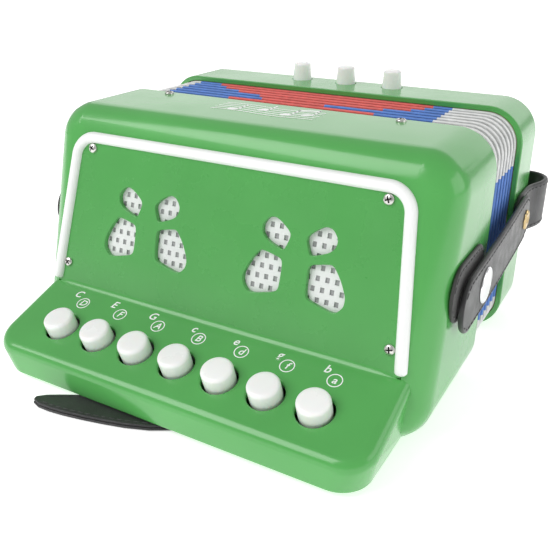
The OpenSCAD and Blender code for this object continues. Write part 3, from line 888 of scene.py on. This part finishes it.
def stitches(stations, thickness, margin=1.8, stitch=2.2, gap=1.1, r=0.26, first=4.0, last=4.0):
    """Two rows of stitches on the outer face, following the strap's edges."""
    out = []
    ht = thickness / 2
    for side in (-1, 1):
        line = [p + a * (side * (hw - margin)) + n * (ht * 1.03)
                for p, a, n, hw in stations if hw > margin + 1.5]
        length = [0.0]
        for a, b in zip(line, line[1:]):
            length.append(length[-1] + (b - a).length)

        def at(s):
            for k in range(1, len(line)):
                if s <= length[k]:
                    f = (s - length[k - 1]) / max(1e-9, length[k] - length[k - 1])
                    return line[k - 1].lerp(line[k], f)
            return line[-1]

        s = first
        while s + stitch < length[-1] - last:
            out.append(capsule_mesh(at(s), at(s + stitch), r))
            s += stitch + gap
    return out


def end_width(d, r):
    """Half width of a rounded end at distance d from its tip."""
    return r if d >= r else math.sqrt(max(0.0004, r * r - (r - d) ** 2))


def straight_stations(y0, y1, centre, hw, tip0, tip1):
    """Stations of a strap along y with two rounded ends; centre(y) gives its middle, across and normal."""
    spots = sorted(set([y0 + tip0 * (1 - math.cos(math.pi / 2 * k / 12)) for k in range(13)]
                       + [y1 - tip1 * (1 - math.cos(math.pi / 2 * k / 12)) for k in range(13)]
                       + [y0 + tip0 + (y1 - tip1 - y0 - tip0) * k / 40 for k in range(41)]))
    out = []
    for y in spots:
        c, a, n = centre(y)
        w = min(end_width(y - y0, tip0) * hw / tip0, end_width(y1 - y, tip1) * hw / tip1, hw)
        out.append((c, a, n, max(w, 0.3)))
    return out


def strap_x(y):
    return 93.1 + 0.45 * math.sin(math.pi * (y + 31.5) / 98)


def strap_z(y):
    return 48.2 + 6.0 * (y + 20) / 80


def outward(side, x, y, z):
    """Placement of a lathed part whose axis points out of the object's side."""
    return Matrix.Translation((side * x, y, z)) @ Matrix.Rotation(side * math.pi / 2, 4, "Y")


def closing_strap(side, name):
    def centre(y):
        return (Vector((side * strap_x(y), y, strap_z(y))), Vector((0, -0.075, 1)).normalized(),
                Vector((side, 0, 0)))

    st = straight_stations(-31.5, 66.5, centre, STRAP_HALF, 9.0, 8.0)
    body = f"closing_strap_{name}"
    o = show(f"closing_band_{name}", ribbon_mesh(st, STRAP_T), [mat_leather], body, 50)
    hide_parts(f"side_strap_{name}")
    show(f"closing_stitches_{name}", joined(stitches(st, STRAP_T)), [mat_thread], body, 60)
    m = outward(side, strap_x(STUD_Y) + 1.0, STUD_Y, STUD_Z)
    prof = [(0, -0.2), (6.9, -0.2), (7.1, 0.1), (7.05, 0.5), (6.6, 0.85), (6.0, 0.8), (5.4, 0.7), (5.0, 0.95),
            (4.2, 1.25), (2.6, 1.45), (1.2, 1.52), (0, 1.54)]
    o = show(f"stud_cap_{name}", lathe_mesh(prof, 56, m), [mat_chrome], body, 60)
    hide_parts(f"press_stud_{name}")


def star_rivet(side):
    """Rivet with an eight-petalled rim round a hollow middle."""
    def petals(a, r):
        return r * (1 + 0.1 * math.cos(8 * a) * min(1, r / 3.5)) if r > 2.2 else r

    prof = [(0, -1.0), (3, -1.0), (3, -0.1), (2, 0), (2, 6.5), (3.9, 6.55), (4.25, 6.8), (3.9, 7.25), (3.2, 7.55),
            (2.3, 7.65), (1.5, 7.5), (1.15, 7.1), (1.1, 6.3), (0, 6.2)]
    return lathe_mesh(prof, 64, outward(side, HALF_W - WALL, RIVET_Y, RIVET_Z), petals)


def strap_tabs():
    """Fixed tabs on the treble casing, one on each side."""
    meshes, seams = [], []
    for side in (1, -1):
        def centre(y, side=side):
            return Vector((side * (HALF_W + 0.65), y, RIVET_Z)), Vector((0, 0, 1)), Vector((side, 0, 0))

        st = straight_stations(-36.5, 1.5, centre, STRAP_HALF, 9.0, 9.0)
        meshes.append(ribbon_mesh(st, TAB_T))
        seams += stitches(st, TAB_T, first=1, last=1)
    o = show("strap_tab_pair", joined(meshes), [mat_edge], "treble_end", 50)
    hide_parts("strap_tabs")
    show("strap_tab_stitches", joined(seams), [mat_thread], "treble_end", 60)


def rivets():
    o = show("star_rivets", joined([star_rivet(1), star_rivet(-1)]), [mat_brass], "bass_end", 40)
    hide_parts("strap_rivets")


def smooth_path(line, spacing):
    """Catmull-Rom curve through the points of line, with a point about every spacing."""
    dense = []
    for k in range(len(line) - 1):
        p0, p1, p2, p3 = line[max(k - 1, 0)], line[k], line[k + 1], line[min(k + 2, len(line) - 1)]
        count = max(1, int((p2 - p1).length / spacing))
        for j in range(count):
            t = j / count
            dense.append(0.5 * ((2 * p1) + (p2 - p0) * t + (2 * p0 - 5 * p1 + 4 * p2 - p3) * t * t
                                + (3 * p1 - p0 - 3 * p2 + p3) * t ** 3))
    dense.append(line[-1])
    return dense


def hand_band():
    """Hand strap from the right side round the back of the bass end to the left side."""
    outer_x, outer_y, corner, spacing, taper = 95.5, 97.5, 9.0, 2.0, 6
    cx, cy = outer_x - corner, outer_y - corner
    pts = [(91.0, 51.5), (91.0, 60), (91.0, 66), (91.0, 70.5), (92.0, 76), (94.2, 81.5), (95.4, 86.5)]
    pts += [(cx + corner * math.cos(math.radians(a)), cy + corner * math.sin(math.radians(a)))
            for a in range(6, 91, 7)]
    pts += [(x, outer_y) for x in (60, 30, 0)]
    full = pts + [(-x, y) for x, y in reversed(pts[:-1])]
    dense = smooth_path([Vector((x, y, RIVET_Z)) for x, y in full], spacing)
    st = []
    for k, p in enumerate(dense):
        d = (dense[min(k + 1, len(dense) - 1)] - dense[max(k - 1, 0)]).normalized()
        s = min(k, len(dense) - 1 - k) * spacing
        half = STRAP_HALF if s > taper - 1 else STRAP_HALF - 3.5 * (1 - s / taper)
        st.append((p, Vector((0, 0, 1)), Vector((d.y, -d.x, 0)), half))
    o = show("hand_band", ribbon_mesh(st, STRAP_T), [mat_leather], "bass_end", 50)
    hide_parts("hand_strap")
    show("hand_band_stitches", joined(stitches(st, STRAP_T)), [mat_thread], "bass_end", 60)


def thumb_strap():
    """Two flat layers lying before the shelf, along a middle line with its half widths."""
    centre = [(-52.2, -95.3), (-49, -94.6), (-44, -93.2), (-38, -91.3), (-30, -88.8), (-22, -86.2), (-14, -83.2),
              (-6, -79.6), (2, -75.0), (10, -69.6), (17, -64.2), (21, -60.8)]
    half = [1.6, 3.6, 5.0, 6.2, 7.2, 8.0, 8.9, 9.5, 9.4, 8.6, 6.5, 4.5]

    def stations(z, shrink):
        st = []
        n = len(centre)
        for k in range(n):
            p = Vector((*centre[k], z))
            d = (Vector((*centre[min(k + 1, n - 1)], 0)) - Vector((*centre[max(k - 1, 0)], 0))).normalized()
            a = Vector((-d.y, d.x, 0))
            st.append((p, a, Vector((0, 0, 1)), half[k] - shrink))
        return st

    top = stations(2.0, 0.5)
    me = joined([ribbon_mesh(stations(0.95, 0.0), 1.1), ribbon_mesh(top, 1.0)])
    o = show("thumb_loop", me, [mat_leather], "treble_end", 50)
    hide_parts("thumb_strap")
    me = joined(stitches(top, 1.0, margin=1.5, first=1.5, last=30, r=0.2))
    show("thumb_loop_stitches", me, [mat_thread], "treble_end", 60)


# ---------- printing ----------

def letter_mesh(text, size):
    c = bpy.data.curves.new("letter", "FONT")
    c.body = text
    c.size = size
    c.shear = 0.22
    c.extrude = 0.03
    c.offset = 0.06
    c.align_x = "CENTER"
    c.align_y = "CENTER"
    o = bpy.data.objects.new("letter", c)
    bpy.context.scene.collection.objects.link(o)
    dg = bpy.context.evaluated_depsgraph_get()
    me = bpy.data.meshes.new_from_object(o.evaluated_get(dg))
    bpy.data.objects.remove(o)
    return me


def ring_mesh(r, w, t, n=40):
    """Flat ring of radius r, half width w and thickness t."""
    rings = []
    for k in range(n):
        a = 2 * math.pi * k / n
        d = Vector((math.cos(a), math.sin(a), 0))
        rings.append([d * (r - w), d * (r - w) + Vector((0, 0, t)), d * (r + w) + Vector((0, 0, t)), d * (r + w)])
    return loft_mesh(rings, closed_path=True)


def note_names():
    """Letters behind the treble buttons; the nearer row is ringed."""
    outer = ["C", "E", "G", "c", "e", "g", "b"]
    inner = ["D", "F", "A", "B", "d", "f", "a"]
    outer_dx = [-5.8, -5.3, -4.4, -3.1, -3.0, -3.3, -3.5]
    inner_dx = [-0.2, 0.6, 0.8, 1.2, 1.3, 1.4, 1.0]
    outer_y, inner_y = 17.6, 13.8
    parts = []
    for k in range(7):
        for me, where in ((letter_mesh(outer[k], 5.0), (outer_dx[k], outer_y, 0.03)),
                          (letter_mesh(inner[k], 4.3), (inner_dx[k], inner_y, 0.03)),
                          (ring_mesh(2.75, 0.2, 0.05), (inner_dx[k], inner_y, 0.01))):
            me.transform(shelf_matrix(key_x(k + 1)) @ Matrix.Translation(where))
            parts.append(me)
    show("note_names", joined(parts), [mat_print], "treble_end", 30)


def staff_motif():
    """Generic five-line staff with four notes, printed on the treble casing's top."""
    parts = []
    z = CASE_H + 0.02

    def stroke(points, w):
        rings = []
        for k, p in enumerate(points):
            d = (Vector(points[min(k + 1, len(points) - 1)]) - Vector(points[max(k - 1, 0)])).normalized()
            n = Vector((-d.y, d.x))
            rings.append([(p[0] + n.x * w * f, p[1] + n.y * w * f, z + dz)
                          for f, dz in ((-1, -0.1), (-1, 0.06), (1, 0.06), (1, -0.1))])
        parts.append(loft_mesh(rings))

    for line in range(5):
        stroke([(-24 + 1.6 * t, -9.0 + line * 3.0 + 0.9 * math.sin(t * 0.26)) for t in range(0, 30)], 0.3)
    # note heads, each with its stem, and a beam over the last two
    for x, y, stem in ((-15, -6.4, 9), (-3, -2.6, 9), (9, -6.0, 10), (17, -2.6, 9)):
        turn = [2 * math.pi * k / 20 for k in range(20)]
        head = [(x + 2.1 * math.cos(a), y + 1.5 * math.sin(a) + 0.6 * math.cos(a)) for a in turn]
        parts.append(loft_mesh([[(*p, zz) for p in head] for zz in (z - 0.1, z + 0.09)]))
        stroke([(x + 1.8, y + 0.4), (x + 1.9, y + stem * 0.5), (x + 1.9, y + stem)], 0.4)
    stroke([(10.6, 3.6), (14.8, 5.2), (19.2, 6.2)], 0.9)
    show("staff_motif", joined(parts), [mat_print], "treble_end", 30)


# ---------- CAD nodes that stay in view ----------

def dress_cad_nodes():
    finishes = {"treble_lever": mat_lever, "treble_pivot_rod": mat_steel, "treble_return_springs": mat_steel,
                "treble_reed_board": mat_wood, "treble_reed_plates": mat_reed, "bass_reed_board": mat_wood,
                "bass_reed_plates": mat_reed, "bass_valve_plate": mat_wood, "bass_pallet": mat_felt,
                "bass_return_springs": mat_steel, "stud_posts": mat_chrome, "thumb_strap_screws": mat_nickel}
    for name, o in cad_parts.items():
        for start, mat in finishes.items():
            if name.startswith(start):
                o.data.materials.clear()
                o.data.materials.append(mat)


treble_casing()
bass_casing()
front_panel()
trim_moulding()
sound_mesh()
screws()
treble_buttons()
bass_buttons()
bellows()
closing_strap(1, "right")
closing_strap(-1, "left")
strap_tabs()
rivets()
hand_band()
thumb_strap()
note_names()
staff_motif()
dress_cad_nodes()

# ---------- floor, light, camera ----------

scene = bpy.context.scene
me = mesh_from([(-4000, -4000, 0), (4000, -4000, 0), (4000, 9000, 0), (-4000, 9000, 0)], [(0, 1, 2, 3)])
finish_mesh(me, [mat_floor], 0)
floor = bpy.data.objects.new("floor", me)
scene.collection.objects.link(floor)
fb = mat_floor.node_tree.nodes["Principled BSDF"]
fb.inputs["Emission Color"].default_value = (1, 1, 1, 1)
fb.inputs["Emission Strength"].default_value = 0.6

world = bpy.data.worlds.new("studio")
scene.world = world
world.use_nodes = True
world.node_tree.nodes["Background"].inputs["Color"].default_value = (1, 1, 1, 1)
world.node_tree.nodes["Background"].inputs["Strength"].default_value = 0.5


def area(name, where, target, size, power):
    light = bpy.data.lights.new(name, "AREA")
    light.shape = "RECTANGLE"
    light.size, light.size_y = size
    light.energy = power
    o = bpy.data.objects.new(name, light)
    scene.collection.objects.link(o)
    o.location = where
    o.rotation_euler = (Vector(target) - Vector(where)).to_track_quat("-Z", "Y").to_euler()
    return o


area("back_softbox", (-0.6, 2.6, 1.15), (0, 0, 0.08), (4.2, 1.6), 15)
area("key_softbox", (-1.0, -1.3, 1.5), (0, 0, 0.05), (1.4, 1.4), 24)
area("side_softbox", (1.9, 0.3, 0.8), (0, 0, 0.05), (1.6, 1.2), 9)

cam_data = bpy.data.cameras.new("camera")
cam_data.sensor_width = 36
cam_data.lens = 46.79
cam_data.shift_x = -0.0031
cam_data.shift_y = -0.0178
cam_data.clip_start = 0.01
cam = bpy.data.objects.new("camera", cam_data)
scene.collection.objects.link(cam)
cam.location = (0.1465, -0.2513, 0.1645)
az, el = math.radians(29.9), math.radians(24.22)
look = Vector((-math.sin(az) * math.cos(el), math.cos(az) * math.cos(el), -math.sin(el)))
cam.rotation_euler = look.to_track_quat("-Z", "Y").to_euler()
scene.camera = cam
scene.view_settings.view_transform = "Standard"
